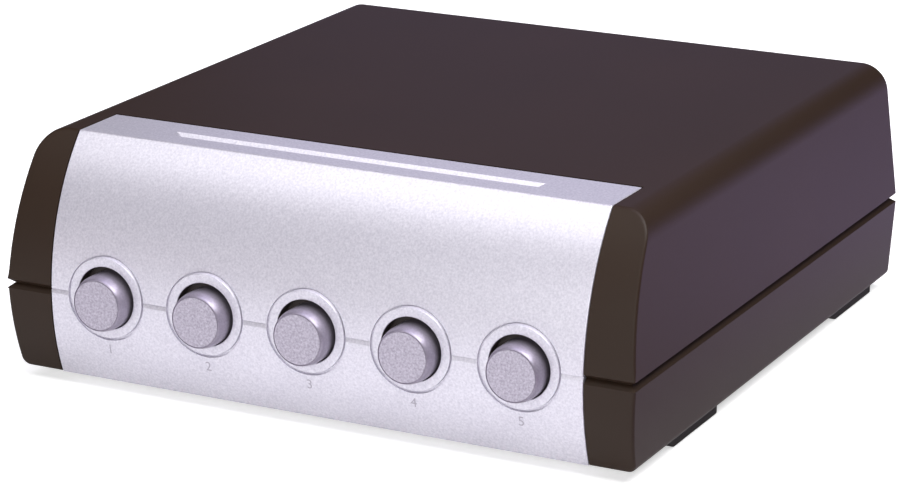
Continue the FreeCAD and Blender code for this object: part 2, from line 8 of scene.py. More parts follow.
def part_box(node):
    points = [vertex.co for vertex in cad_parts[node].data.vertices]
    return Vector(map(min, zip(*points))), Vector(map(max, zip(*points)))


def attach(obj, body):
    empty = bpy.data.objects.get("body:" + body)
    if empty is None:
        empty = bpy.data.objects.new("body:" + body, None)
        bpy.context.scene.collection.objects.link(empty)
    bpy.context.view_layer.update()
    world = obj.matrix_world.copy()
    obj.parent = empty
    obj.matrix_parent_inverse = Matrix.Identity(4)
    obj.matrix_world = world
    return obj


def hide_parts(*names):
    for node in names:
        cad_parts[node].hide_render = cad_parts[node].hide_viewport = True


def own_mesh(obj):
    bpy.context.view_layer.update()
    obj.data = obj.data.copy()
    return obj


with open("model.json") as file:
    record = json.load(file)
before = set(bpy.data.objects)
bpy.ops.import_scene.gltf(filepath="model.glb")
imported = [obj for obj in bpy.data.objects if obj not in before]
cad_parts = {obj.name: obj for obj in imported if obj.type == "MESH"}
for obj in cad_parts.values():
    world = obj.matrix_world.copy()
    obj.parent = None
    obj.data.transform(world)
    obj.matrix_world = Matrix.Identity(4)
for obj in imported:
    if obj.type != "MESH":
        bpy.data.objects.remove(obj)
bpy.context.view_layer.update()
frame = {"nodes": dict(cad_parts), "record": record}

print("frame loaded:", len(frame["nodes"]), "solids")

# Speaker selector: two-part moulded case, silver barrel front with five push buttons, sprung
# speaker terminals at the back. Pieces are modelled in millimetres in the maker's drawing
# frame: X across, Y from the front to the back, Z up, from the foremost point of the joint
# line between cover and base. settle() moves a finished mesh to its place in metres.
drawingOrigin = Vector((0, -119.3, 35.9))
toPlace = Matrix.Scale(0.001, 4) @ Matrix.Translation(drawingOrigin)
bodyOf = {node: body for body, nodes in frame["record"]["behaviour"]["bodies"].items() for node in nodes}
slotOf = {part["node"]: part["material_slot"] for part in frame["record"]["subparts"]}

touch = 0.05                                # places closer than this, in mm, count as the same
square = 0.9                                # a face looks along an axis when its normal has this share
bandPeriod = 0.314                          # a wave texture's band, in metres, at scale 1
upright = (math.radians(90), 0, 0)          # turns what is made flat, or up Z, to face the front


def metres(size):
    return size / 1000


def millimetres(size):
    return size * 1000


def linearColour(hexText):                  # sRGB hex to the linear values Blender works in
    parts = [int(hexText[i:i + 2], 16) / 255 for i in (0, 2, 4)]
    return [p / 12.92 if p <= 0.04045 else ((p + 0.055) / 1.055) ** 2.4 for p in parts] + [1.0]


def addNode(tree, kind, settings=None, inputs=None, links=None):
    node = tree.nodes.new(kind)
    for name, value in (settings or {}).items():
        setattr(node, name, value)
    for name, value in (inputs or {}).items():
        node.inputs[name].default_value = value
    for name, socket in (links or {}).items():
        tree.links.new(socket, node.inputs[name])
    return node


def newMaterial(name):
    material = bpy.data.materials.new(name)
    material.use_nodes = True
    tree = material.node_tree
    tree.nodes.clear()
    return material, tree


# ABS moulded in a spark-eroded tool: near black with a warm cast and a broad soft sheen. Its
# grain, about 0.1 mm in truth, is drawn at 0.35 mm so that it shows, and breaks the highlight up.
def mouldedAbs():
    material, tree = newMaterial("abs_spark_eroded")
    place = addNode(tree, "ShaderNodeTexCoord")
    grain = addNode(tree, "ShaderNodeTexNoise", {},
                    {"Scale": 1 / metres(0.35), "Detail": 3.0, "Roughness": 0.6},
                    {"Vector": place.outputs["Object"]})
    cloud = addNode(tree, "ShaderNodeTexNoise", {}, {"Scale": 1 / metres(60), "Detail": 2.0},
                    {"Vector": place.outputs["Object"]})
    tint = addNode(tree, "ShaderNodeMix", {"data_type": "RGBA"},
                   {"A": linearColour("291d14"), "B": linearColour("2f2117")},
                   {"Factor": cloud.outputs["Fac"]})
    bump = addNode(tree, "ShaderNodeBump", {}, {"Strength": 0.25, "Distance": metres(0.03)},
                   {"Height": grain.outputs["Fac"]})
    gloss = addNode(tree, "ShaderNodeMapRange", {}, {"To Min": 0.44, "To Max": 0.54},
                    {"Value": grain.outputs["Fac"]})
    shader = addNode(tree, "ShaderNodeBsdfPrincipled", {}, {"IOR": 1.53, "Specular IOR Level": 0.2},
                     {"Base Color": tint.outputs["Result"], "Roughness": gloss.outputs["Result"],
                      "Normal": bump.outputs["Normal"]})
    addNode(tree, "ShaderNodeOutputMaterial", {}, {}, {"Surface": shader.outputs["BSDF"]})
    return material


# metallic lacquer sprayed on ABS: satin silver with a cool cast. The flake, finer than 0.1 mm
# in truth, is drawn at 0.8 mm so that its sparkle shows.
def silverLacquer(name, low, high, metallic, roughness):
    material, tree = newMaterial(name)
    place = addNode(tree, "ShaderNodeTexCoord")
    flake = addNode(tree, "ShaderNodeTexNoise", {},
                    {"Scale": 1 / metres(0.8), "Detail": 3.0, "Roughness": 0.6},
                    {"Vector": place.outputs["Object"]})
    spread = addNode(tree, "ShaderNodeMapRange", {}, {"From Min": 0.3, "From Max": 0.7},
                     {"Value": flake.outputs["Fac"]})
    tint = addNode(tree, "ShaderNodeMix", {"data_type": "RGBA"},
                   {"A": linearColour(low), "B": linearColour(high)}, {"Factor": spread.outputs["Result"]})
    bump = addNode(tree, "ShaderNodeBump", {}, {"Strength": 0.12, "Distance": metres(0.03)},
                   {"Height": flake.outputs["Fac"]})
    shader = addNode(tree, "ShaderNodeBsdfPrincipled", {}, {"Metallic": metallic, "Roughness": roughness},
                     {"Base Color": tint.outputs["Result"], "Normal": bump.outputs["Normal"]})
    addNode(tree, "ShaderNodeOutputMaterial", {}, {}, {"Surface": shader.outputs["BSDF"]})
    return material


# moulded plastic or rubber: an even colour, faintly cloudy over 8 mm where the melt cooled. The
# skin's grain, finer than 0.1 mm in truth, is drawn at 0.4 mm and keeps the highlight soft.
def mouldedPlastic(name, low, high, roughness):
    material, tree = newMaterial(name)
    place = addNode(tree, "ShaderNodeTexCoord")
    grain = addNode(tree, "ShaderNodeTexNoise", {}, {"Scale": 1 / metres(0.4), "Detail": 3.0},
                    {"Vector": place.outputs["Object"]})
    cloud = addNode(tree, "ShaderNodeTexNoise", {}, {"Scale": 1 / metres(8), "Detail": 2.0},
                    {"Vector": place.outputs["Object"]})
    tint = addNode(tree, "ShaderNodeMix", {"data_type": "RGBA"},
                   {"A": linearColour(low), "B": linearColour(high)}, {"Factor": cloud.outputs["Fac"]})
    bump = addNode(tree, "ShaderNodeBump", {}, {"Strength": 0.1, "Distance": metres(0.03)},
                   {"Height": grain.outputs["Fac"]})
    shader = addNode(tree, "ShaderNodeBsdfPrincipled", {}, {"Roughness": roughness},
                     {"Base Color": tint.outputs["Result"], "Normal": bump.outputs["Normal"]})
    addNode(tree, "ShaderNodeOutputMaterial", {}, {}, {"Surface": shader.outputs["BSDF"]})
    return material


# plated or drawn metal: a plain bright reflection, darker and duller in patches from handling
def platedMetal(name, low, high, roughness, patch):
    material, tree = newMaterial(name)
    place = addNode(tree, "ShaderNodeTexCoord")
    dull = addNode(tree, "ShaderNodeTexNoise", {}, {"Scale": 1 / metres(patch), "Detail": 4.0},
                   {"Vector": place.outputs["Object"]})
    tint = addNode(tree, "ShaderNodeMix", {"data_type": "RGBA"},
                   {"A": linearColour(high), "B": linearColour(low)}, {"Factor": dull.outputs["Fac"]})
    gloss = addNode(tree, "ShaderNodeMapRange", {},
                    {"To Min": roughness - 0.06, "To Max": roughness + 0.12},
                    {"Value": dull.outputs["Fac"]})
    shader = addNode(tree, "ShaderNodeBsdfPrincipled", {}, {"Metallic": 1.0},
                     {"Base Color": tint.outputs["Result"], "Roughness": gloss.outputs["Result"]})
    addNode(tree, "ShaderNodeOutputMaterial", {}, {}, {"Surface": shader.outputs["BSDF"]})
    return material


# silicon steel stampings of 0.5 mm, stacked and varnished: grey edges between dark varnish lines
def laminatedSteel():
    material, tree = newMaterial("silicon_steel_laminated")
    place = addNode(tree, "ShaderNodeTexCoord")
    stack = addNode(tree, "ShaderNodeTexWave", {"bands_direction": "Y"},
                    {"Scale": bandPeriod / metres(0.5), "Distortion": 0.3, "Detail": 2.0},
                    {"Vector": place.outputs["Object"]})
    tint = addNode(tree, "ShaderNodeMix", {"data_type": "RGBA"},
                   {"A": linearColour("3a3c40"), "B": linearColour("86898f")},
                   {"Factor": stack.outputs["Fac"]})
    shader = addNode(tree, "ShaderNodeBsdfPrincipled", {}, {"Metallic": 0.8, "Roughness": 0.45},
                     {"Base Color": tint.outputs["Result"]})
    addNode(tree, "ShaderNodeOutputMaterial", {}, {}, {"Surface": shader.outputs["BSDF"]})
    return material


# polyester tape wound over copper: glossy amber with the overlaps of each 9 mm turn
def tapedWinding():
    material, tree = newMaterial("polyester_tape_amber")
    place = addNode(tree, "ShaderNodeTexCoord")
    turns = addNode(tree, "ShaderNodeTexWave", {"bands_direction": "Z", "wave_profile": "SAW"},
                    {"Scale": bandPeriod / metres(9), "Distortion": 0.6},
                    {"Vector": place.outputs["Object"]})
    tint = addNode(tree, "ShaderNodeMix", {"data_type": "RGBA"},
                   {"A": linearColour("b98a2e"), "B": linearColour("d4a94a")},
                   {"Factor": turns.outputs["Fac"]})
    bump = addNode(tree, "ShaderNodeBump", {}, {"Strength": 0.4, "Distance": metres(0.08)},
                   {"Height": turns.outputs["Fac"]})
    shader = addNode(tree, "ShaderNodeBsdfPrincipled", {}, {"Roughness": 0.22},
                     {"Base Color": tint.outputs["Result"], "Normal": bump.outputs["Normal"]})
    addNode(tree, "ShaderNodeOutputMaterial", {}, {}, {"Surface": shader.outputs["BSDF"]})
    return material


# paper phenolic laminate, pressed: toffee brown with paper fibres about 2 mm long
def phenolicBoard():
    material, tree = newMaterial("phenolic_paper_laminate")
    place = addNode(tree, "ShaderNodeTexCoord")
    fibres = addNode(tree, "ShaderNodeMapping", {}, {"Scale": (1, 5, 1)},
                     {"Vector": place.outputs["Object"]})
    pulp = addNode(tree, "ShaderNodeTexNoise", {},
                   {"Scale": 1 / metres(2), "Detail": 5.0, "Roughness": 0.65},
                   {"Vector": fibres.outputs["Vector"]})
    tint = addNode(tree, "ShaderNodeMix", {"data_type": "RGBA"},
                   {"A": linearColour("8a5a2c"), "B": linearColour("b07f45")},
                   {"Factor": pulp.outputs["Fac"]})
    shader = addNode(tree, "ShaderNodeBsdfPrincipled", {}, {"Roughness": 0.38},
                     {"Base Color": tint.outputs["Result"]})
    addNode(tree, "ShaderNodeOutputMaterial", {}, {}, {"Surface": shader.outputs["BSDF"]})
    return material


# each finish with its darker and lighter tint; the numbers are metallic and roughness for lacquers,
# roughness for plastics, roughness and patch size in mm for metals
caseSkin = mouldedAbs()
panelSkin = silverLacquer("lacquer_satin_silver", "c7c4cf", "e1dee7", 0.5, 0.37)
buttonSkin = silverLacquer("lacquer_satin_silver_dark", "958e9d", "c3bdca", 0.4, 0.36)
barrelSkin = silverLacquer("lacquer_gloss_silver", "98909f", "a69fae", 0.65, 0.42)
rubberSkin = mouldedPlastic("rubber_moulded_black", "1f1918", "241d1c", 0.85)     # dead matt
darkPlastic = mouldedPlastic("abs_bare_black_gap_shade", "372c2a", "3f3432", 0.5)          # unpainted moulding; in the button holes, also painted shade
redPlastic = mouldedPlastic("abs_gloss_red", "a01616", "b01a1a", 0.25)           # polished tool, wet look
blackGloss = mouldedPlastic("abs_gloss_black", "141214", "181618", 0.25)         # the same in black
polyamide = mouldedPlastic("polyamide_moulded_black", "1c1a1c", "222022", 0.42)  # satin, slightly grey
acetal = mouldedPlastic("acetal_natural_white", "d6d4cc", "e2e0d8", 0.4)         # waxy, milky white
switchPlastic = mouldedPlastic("polyester_moulded_grey", "585a5e", "626468", 0.45)    # satin, cool grey
printInk = mouldedPlastic("ink_pad_printed_grey", "a49fab", "aea9b5", 0.6)       # thin matt ink
zincSteel = platedMetal("steel_zinc_plated", "b2b5b9", "c0c3c7", 0.32, 0.6)      # bluish white
drawnSteel = platedMetal("steel_wire_drawn", "a2a19f", "b0afad", 0.24, 0.2)      # bright, barely mottled
rolledBrass = platedMetal("brass_rolled", "bf9e5e", "d3b270", 0.3, 1.5)          # warm yellow
laminations = laminatedSteel()
windingTape = tapedWinding()
laminate = phenolicBoard()
skins = {
    "case_plastic": caseSkin, "front_paint": panelSkin, "button_paint": buttonSkin,
    "foot_rubber": rubberSkin, "plate_plastic": polyamide, "board_laminate": laminate,
    "screw_steel": zincSteel, "core_steel": laminations, "winding_tape": windingTape,
    "tag_brass": rolledBrass, "switch_plastic": switchPlastic, "spring_steel": drawnSteel,
    "plunger_plastic": acetal, "block_plastic": polyamide, "lever_red": redPlastic,
    "lever_black": blackGloss,
}
for name, piece in frame["nodes"].items():
    piece.data.materials.clear()
    piece.data.materials.append(skins.get(slotOf[name], darkPlastic))
print("materials assigned")


def focus(piece):
    bpy.ops.object.select_all(action="DESELECT")
    piece.select_set(True)
    bpy.context.view_layer.objects.active = piece


def named(name):                            # a new primitive, its place moved into its mesh
    piece = bpy.context.object
    piece.name = piece.data.name = name
    bpy.ops.object.transform_apply(location=True, rotation=True, scale=True)
    return piece


def addBlock(name, low, high):
    bpy.ops.object.select_all(action="DESELECT")
    span = [top - bottom for bottom, top in zip(low, high)]
    middle = [(top + bottom) / 2 for bottom, top in zip(low, high)]
    bpy.ops.mesh.primitive_cube_add(size=1, location=middle, scale=span)
    return named(name)


def addRod(name, radius, front, back, x, z, sides):            # its axis runs front to back
    bpy.ops.object.select_all(action="DESELECT")
    bpy.ops.mesh.primitive_cylinder_add(vertices=sides, radius=radius, depth=back - front,
                                        location=(x, (front + back) / 2, z), rotation=upright)
    return named(name)


def addBarrel(name, radius, width, middle, sides):             # its axis runs across
    bpy.ops.object.select_all(action="DESELECT")
    bpy.ops.mesh.primitive_cylinder_add(vertices=sides, radius=radius, depth=width, location=middle,
                                        rotation=(0, math.radians(90), 0))
    return named(name)


def openMesh(piece):
    focus(piece)
    bpy.ops.object.mode_set(mode="EDIT")
    bpy.ops.mesh.select_all(action="DESELECT")


def closeMesh():
    bpy.ops.object.mode_set(mode="OBJECT")


def pickFaces(piece, wanted):               # wanted(middle, normal), in edit mode
    bpy.context.tool_settings.mesh_select_mode = (False, False, True)
    mesh = bmesh.from_edit_mesh(piece.data)
    for face in mesh.faces:
        face.select_set(wanted(face.calc_center_median(), face.normal))
    bmesh.update_edit_mesh(piece.data)


def pickEdges(piece, wanted):               # wanted(edge, middle), in edit mode
    bpy.context.tool_settings.mesh_select_mode = (False, True, False)
    mesh = bmesh.from_edit_mesh(piece.data)
    for edge in mesh.edges:
        edge.select_set(wanted(edge, (edge.verts[0].co + edge.verts[1].co) / 2))
    bmesh.update_edit_mesh(piece.data)


def sharpOutside(edge, least=30):           # an outer corner of the mesh, sharper than so many degrees
    return len(edge.link_faces) == 2 and edge.is_convex and edge.calc_face_angle(0) > math.radians(least)


def extrudeBack(distance):                  # the picked faces, towards the back, or the front if negative
    bpy.ops.mesh.extrude_region_move(TRANSFORM_OT_translate={"value": (0, distance, 0)})


def softenEdges(piece, width, segments, wanted, slide=True):
    openMesh(piece)
    pickEdges(piece, wanted)
    bpy.ops.mesh.bevel(offset=width, segments=segments, affect="EDGES", clamp_overlap=False,
                       loop_slide=slide)
    closeMesh()


def trim(piece, point, direction):          # cuts away what lies past the plane, and closes the cut
    openMesh(piece)
    bpy.ops.mesh.select_all(action="SELECT")
    bpy.ops.mesh.bisect(plane_co=point, plane_no=direction, use_fill=True, clear_outer=True)
    closeMesh()


def closeHoles(piece):                      # fills what is open, and turns every face outwards
    openMesh(piece)
    bpy.ops.mesh.select_all(action="SELECT")
    bpy.ops.mesh.fill_holes(sides=0)
    bpy.ops.mesh.normals_make_consistent(inside=False)
    closeMesh()


def combine(piece, tools, operation="DIFFERENCE"):
    for tool in tools:
        modifier = piece.modifiers.new("shape", "BOOLEAN")
        modifier.operation, modifier.object, modifier.solver = operation, tool, "EXACT"
        focus(piece)
        bpy.ops.object.modifier_apply(modifier=modifier.name)
        bpy.data.objects.remove(tool)


def smooth(piece, angle=32):
    focus(piece)
    bpy.ops.object.shade_smooth_by_angle(angle=math.radians(angle))
    modifier = piece.modifiers.new("normals", "WEIGHTED_NORMAL")
    modifier.keep_sharp = True
    bpy.ops.object.modifier_apply(modifier=modifier.name)


cadMerge, cadFlat = 0.004, 0.5              # corners closer in mm, and faces flatter in degrees, merge


def cadCopy(node, name):                    # a node's mesh, merged, in the drawing frame
    piece = bpy.data.objects.new(name, frame["nodes"][node].data.copy())
    bpy.context.scene.collection.objects.link(piece)
    piece.data.transform(toPlace.inverted())
    openMesh(piece)
    bpy.ops.mesh.select_all(action="SELECT")
    bpy.ops.mesh.remove_doubles(threshold=cadMerge)
    bpy.ops.mesh.customdata_custom_splitnormals_clear()
    bpy.ops.mesh.dissolve_limited(angle_limit=math.radians(cadFlat))
    closeMesh()
    return piece


def copyOf(template, name):
    piece = bpy.data.objects.new(name, template.data.copy())
    bpy.context.scene.collection.objects.link(piece)
    return piece


def gather(pieces, name):                   # several solids kept as one piece
    focus(pieces[0])
    for piece in pieces:
        piece.select_set(True)
    bpy.ops.object.join()
    bpy.context.object.name = bpy.context.object.data.name = name
    return bpy.context.object


def paint(piece, *finishes):
    piece.data.materials.clear()
    for finish in finishes:
        piece.data.materials.append(finish)


def settle(piece, *nodes):                  # into place, riding where the nodes that it stands for ride
    piece.data.transform(toPlace)
    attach(piece, bodyOf[nodes[0]])
    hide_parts(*nodes)


# Front panel: silver barrel front with a flat top flange, ring bosses and a joint line.
# The tool sizes lie past the panel on every side, for the blocks that cut it.
panelSizes = {
    "width": 203.2, "radius": 82, "level": -2, "top": 52.7, "bottom": -31.4, "back": 44.5,
    "wall": 2.5, "returnBack": 14, "sides": 480, "edge": 0.4, "edgeSteps": 3, "toolReach": 110,
    "toolBottom": -40, "toolBack": 60, "toolWidth": 240,
}
ringSizes = {
    "count": 5, "pitch": 39.5, "level": 0.5, "radius": 14.4, "front": -0.4, "back": 4.4, "hole": 11.15,
    "edge": 0.3, "relief": 0.75, "reliefShift": (-0.3, -0.55), "reliefDepth": 0.9, "reliefBack": 6,
    "keptWidth": 60, "openingFront": -3, "openingBack": 10, "openingInset": 1, "wallFrom": 0.2,
    "sides": 128,
}
jointSizes = {
    "low": -1.0, "high": 0.7, "front": -1, "depth": 0.55, "ramp": -0.06,
    "lip": 0.28, "lipBack": 0.2, "lipSharp": 60,
}
slotSizes = {
    "middle": 0.9, "halfWidth": 70.9, "halfFloor": 67.7, "front": 29, "back": 34, "floorBack": 32.7,
    "drop": 1.6, "cutAbove": 2,
}
spots = [(number - 2) * ringSizes["pitch"] for number in range(ringSizes["count"])]


def barrelBlock(name, inset, back):
    sizes = panelSizes
    block = addBarrel(name, sizes["radius"] - inset, sizes["width"] - 2 * inset,
                      (0, sizes["radius"], sizes["level"]), sizes["sides"])
    trim(block, (0, 0, sizes["top"] - inset), (0, 0, 1))
    trim(block, (0, 0, sizes["bottom"] + inset), (0, 0, -1))
    trim(block, (0, back, 0), (0, 1, 0))
    return block


def barrelFront(z, proud=0):                # how far back the barrel's face lies at a level
    sizes = panelSizes
    return sizes["radius"] - math.sqrt((sizes["radius"] + proud) ** 2 - (z - sizes["level"]) ** 2)


def ringRim(edge, x):                       # the two rounds of a ring's flat face, not its radii
    centre = Vector((x, 0, ringSizes["level"]))
    first, second = (point.co - centre for point in edge.verts)
    return (max(first.y, second.y) < ringSizes["front"] + touch
            and abs(first.xz.length - second.xz.length) < touch)


def makeRing(x):
    sizes = ringSizes
    ring = addRod("ring", sizes["radius"], sizes["front"], sizes["back"], x, sizes["level"], sizes["sides"])
    openMesh(ring)
    pickFaces(ring, lambda middle, normal: normal.y < -square)
    bpy.ops.mesh.inset(thickness=sizes["radius"] - sizes["hole"])
    extrudeBack(sizes["back"] - sizes["front"])
    bpy.ops.mesh.delete(type="FACE")
    pickFaces(ring, lambda middle, normal: normal.y > square)
    bpy.ops.mesh.delete(type="ONLY_FACE")
    pickEdges(ring, lambda edge, middle: len(edge.link_faces) == 1)
    bpy.ops.mesh.bridge_edge_loops()
    bpy.ops.mesh.select_all(action="SELECT")
    bpy.ops.mesh.normals_make_consistent(inside=False)
    closeMesh()
    softenEdges(ring, sizes["edge"], panelSizes["edgeSteps"], lambda edge, middle: ringRim(edge, x))
    return ring


def makeRelief(x):                          # a shallow groove round the ring, deepest below it
    sizes = ringSizes
    shiftX, shiftZ = sizes["reliefShift"]
    relief = addRod("relief", sizes["radius"] + sizes["relief"], sizes["openingFront"], sizes["reliefBack"],
                    x + shiftX, sizes["level"] + shiftZ, sizes["sides"])
    kept = addBarrel("kept", panelSizes["radius"] - sizes["reliefDepth"], sizes["keptWidth"],
                     (x, panelSizes["radius"], panelSizes["level"]), panelSizes["sides"])
    combine(relief, [kept])
    return relief


def makeJointGroove():                      # its floor slopes out to the barrel's face at the lower side
    sizes = jointSizes
    groove = addBlock("joint_groove", (-toolReach, sizes["front"], sizes["low"]),
                      (toolReach, sizes["depth"], sizes["high"]))
    openMesh(groove)
    pickEdges(groove, lambda edge, middle: middle.z < sizes["low"] + touch
              and middle.y > sizes["depth"] - touch and abs(middle.x) < touch)
    bpy.ops.transform.translate(value=(0, sizes["ramp"] - sizes["depth"], 0))
    closeMesh()
    return groove


def makeTopSlot():                          # a shallow trough in the flange, its ends and back sloped
    sizes = slotSizes
    floorLevel = panelSizes["top"] - sizes["drop"]
    slot = addBlock("top_slot", (sizes["middle"] - sizes["halfWidth"], sizes["front"], floorLevel),
                    (sizes["middle"] + sizes["halfWidth"], sizes["back"], panelSizes["top"]))
    taper = sizes["halfFloor"] / sizes["halfWidth"]
    slope = (sizes["floorBack"] - sizes["front"]) / (sizes["back"] - sizes["front"])
    openMesh(slot)
    pickFaces(slot, lambda middle, normal: normal.z < -square)
    bpy.ops.transform.resize(value=(taper, slope, 1), center_override=(sizes["middle"], sizes["front"], 0))
    pickFaces(slot, lambda middle, normal: normal.z > square)
    bpy.ops.mesh.extrude_region_move(TRANSFORM_OT_translate={"value": (0, 0, sizes["cutAbove"])})
    closeMesh()
    return slot


toolReach = panelSizes["toolReach"]
panel = barrelBlock("silver_front_panel", 0, panelSizes["back"])
softenEdges(panel, panelSizes["edge"], panelSizes["edgeSteps"], lambda edge, middle: sharpOutside(edge))
hollow = barrelBlock("hollow", panelSizes["wall"], panelSizes["back"] + 1)
behind = addBlock("behind", (-toolReach, panelSizes["returnBack"], panelSizes["toolBottom"]),
                  (toolReach, panelSizes["toolBack"], panelSizes["top"] - panelSizes["wall"]))
barrelInside = addBarrel("barrel_inside", panelSizes["radius"] - panelSizes["wall"],
                         panelSizes["toolWidth"], (0, panelSizes["radius"], panelSizes["level"]),
                         panelSizes["sides"])
combine(behind, [barrelInside], "INTERSECT")
combine(panel, [hollow, behind, makeJointGroove(), makeTopSlot()])
softenEdges(panel, jointSizes["lip"], panelSizes["edgeSteps"],
            lambda edge, middle: sharpOutside(edge, jointSizes["lipSharp"])
            and middle.y < jointSizes["lipBack"] and abs(middle.z - jointSizes["high"]) < touch)
for x in spots:
    relief = makeRelief(x)
    opening = addRod("opening", ringSizes["radius"] - ringSizes["openingInset"], ringSizes["openingFront"],
                     ringSizes["openingBack"], x, ringSizes["level"], ringSizes["sides"])
    ring = makeRing(x)
    combine(panel, [relief, opening])
    combine(panel, [ring], "UNION")
closeHoles(panel)
paint(panel, panelSkin, darkPlastic)
for face in panel.data.polygons:            # the holes' walls stay bare black, dark as painted shade in the gap
    nearest = min(math.hypot(face.center.x - x, face.center.z - ringSizes["level"]) for x in spots)
    if nearest < ringSizes["hole"] + touch and face.center.y > ringSizes["wallFrom"]:
        face.material_index = 1
smooth(panel)
settle(panel, "front_panel")
print("front panel:", len(panel.data.polygons), "faces")

# Push buttons: turned caps, the barrel swelling back from a crisp rim. A fine line runs round
# the flat face, and a hidden collar keeps the cap in its hole.
buttonSizes = {
    "front": -6.4, "rim": 9.3, "swell": 9.95, "swellAt": -2.6, "swellSteps": 6, "collarFront": 4.7,
    "chamferBack": -6.1, "chamferFace": 9.0, "lineDepth": 0.25, "lineOuter": 8.92, "lineInner": 8.75,
    "face": 8.65, "back": 6.7, "collar": 12.8, "collarInset": 0.3, "level": -0.5, "capWall": 1.6,
    "bareAndShadeFrom": 2, "sides": 128,
}


def makeButton(name, x):
    sizes = buttonSizes
    centre = (x, 0, sizes["level"])
    cap = addRod(name, sizes["swell"], sizes["swellAt"], sizes["collarFront"], x, sizes["level"],
                 sizes["sides"])
    openMesh(cap)
    pickFaces(cap, lambda middle, normal: normal.y < -square)
    lineFloor = sizes["front"] + sizes["lineDepth"]
    rounds = []                             # how far back and how wide, from the swell to the face
    for step in range(1, sizes["swellSteps"] + 1):
        along = step / sizes["swellSteps"]
        rounds.append((sizes["swellAt"] + along * (sizes["chamferBack"] - sizes["swellAt"]),
                       sizes["swell"] - along ** 2 * (sizes["swell"] - sizes["rim"])))
    rounds += [(sizes["front"], sizes["chamferFace"]), (lineFloor, sizes["lineOuter"]),
               (lineFloor, sizes["lineInner"]), (sizes["front"], sizes["face"])]
    lastWide, lastBack = sizes["swell"], sizes["swellAt"]
    for back, wide in rounds:
        extrudeBack(back - lastBack)
        bpy.ops.transform.resize(value=(wide / lastWide, 1, wide / lastWide), center_override=centre)
        lastWide, lastBack = wide, back
    pickFaces(cap, lambda middle, normal: normal.y > square and middle.y > sizes["collarFront"] - touch)
    widening = sizes["collar"] / (sizes["swell"] - sizes["collarInset"])
    bpy.ops.mesh.inset(thickness=sizes["collarInset"])
    bpy.ops.transform.resize(value=(widening, widening, widening),
                             center_override=(x, sizes["collarFront"], sizes["level"]))
    extrudeBack(sizes["back"] - sizes["collarFront"])
    bpy.ops.mesh.inset(thickness=sizes["collar"] - sizes["face"] + sizes["capWall"])
    extrudeBack(sizes["front"] + sizes["capWall"] - sizes["back"])
    closeMesh()
    return cap


for number, x in enumerate(spots, start=1):
    cap = makeButton(f"silver_push_button_{number}", x)
    paint(cap, buttonSkin, barrelSkin, darkPlastic)
    # the collars behind the holes take the bare black too: painted shade seen through the gap
    for face in cap.data.polygons:
        if face.center.y > buttonSizes["bareAndShadeFrom"]:
            face.material_index = 2
        elif math.hypot(face.center.x - x, face.center.z - buttonSizes["level"]) > touch:
            face.material_index = 1
    smooth(cap)
    settle(cap, f"button_{number}")
print("buttons made")

# Case halves: the moulded shells, their cheeks and back edges rounded, the joint left crisp
caseEdges = {
    "cheek": 1.0, "cheekSteps": 3, "cheekFrom": 102.5, "cheekBack": 24, "rear": 0.5, "rearSteps": 2,
    "rearFrom": 236, "openingSide": 100, "openingTop": 50, "openingBottom": -29,
    "jointClear": 2.2, "sharp": 35,
}


def caseEdge(edge, middle):                 # sharp, and clear of the joint between the halves
    return sharpOutside(edge, caseEdges["sharp"]) and abs(middle.z) > caseEdges["jointClear"]


def cheekEdge(edge, middle):                # round the front face of each cheek
    atCheek = abs(middle.x) > caseEdges["cheekFrom"] and middle.y < caseEdges["cheekBack"]
    return atCheek and caseEdge(edge, middle)


def rearEdge(edge, middle):                 # round the back, clear of the terminal opening
    beside = abs(middle.x) > caseEdges["openingSide"]
    beyond = middle.z > caseEdges["openingTop"] or middle.z < caseEdges["openingBottom"]
    return middle.y > caseEdges["rearFrom"] and (beside or beyond) and caseEdge(edge, middle)


for node, name in (("upper_cover", "moulded_upper_cover"), ("lower_base", "moulded_lower_base")):
    shell = cadCopy(node, name)
    paint(shell, caseSkin)
    softenEdges(shell, caseEdges["cheek"], caseEdges["cheekSteps"], cheekEdge, slide=False)
    softenEdges(shell, caseEdges["rear"], caseEdges["rearSteps"], rearEdge)
    smooth(shell)
    settle(shell, node)
print("case halves softened")

# Numbers under the buttons, pad printed
printSizes = {"height": 3.4, "fontShare": 0.7, "level": -18.8, "film": 0.03, "merge": 0.005}
for number, x in enumerate(spots, start=1):
    bpy.ops.object.select_all(action="DESELECT")
    bpy.ops.object.text_add(location=(x, 0, printSizes["level"]), rotation=upright)
    digit = bpy.context.object
    digit.data.body = str(number)
    digit.data.size = printSizes["height"] / printSizes["fontShare"]    # figures fill a share of their size
    digit.data.align_x, digit.data.align_y = "CENTER", "CENTER"
    digit.data.extrude = printSizes["film"]
    bpy.ops.object.convert(target="MESH")
    digit = named(f"printed_number_{number}")
    openMesh(digit)
    bpy.ops.mesh.select_all(action="SELECT")
    bpy.ops.mesh.remove_doubles(threshold=printSizes["merge"])      # front, back and sides come apart
    closeMesh()
    for point in digit.data.vertices:       # wrapped onto the barrel, its back sunk in the lacquer
        point.co.y = barrelFront(point.co.z, -math.copysign(printSizes["film"], point.co.y))
    closeHoles(digit)
    paint(digit, printInk)
    digit.data.transform(toPlace)
    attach(digit, bodyOf["front_panel"])
print("numbers printed")

# Feet: moulded pads, their edges rounded below the base
footSizes = {"edge": 0.6, "edgeSteps": 3, "sharp": 15, "below": -31.5}
feet = cadCopy("rubber_feet", "rubber_feet_moulded")
paint(feet, rubberSkin)
softenEdges(feet, footSizes["edge"], footSizes["edgeSteps"],
            lambda edge, middle: sharpOutside(edge, footSizes["sharp"]) and middle.z < footSizes["below"])
smooth(feet)
settle(feet, "rubber_feet")
print("feet made")

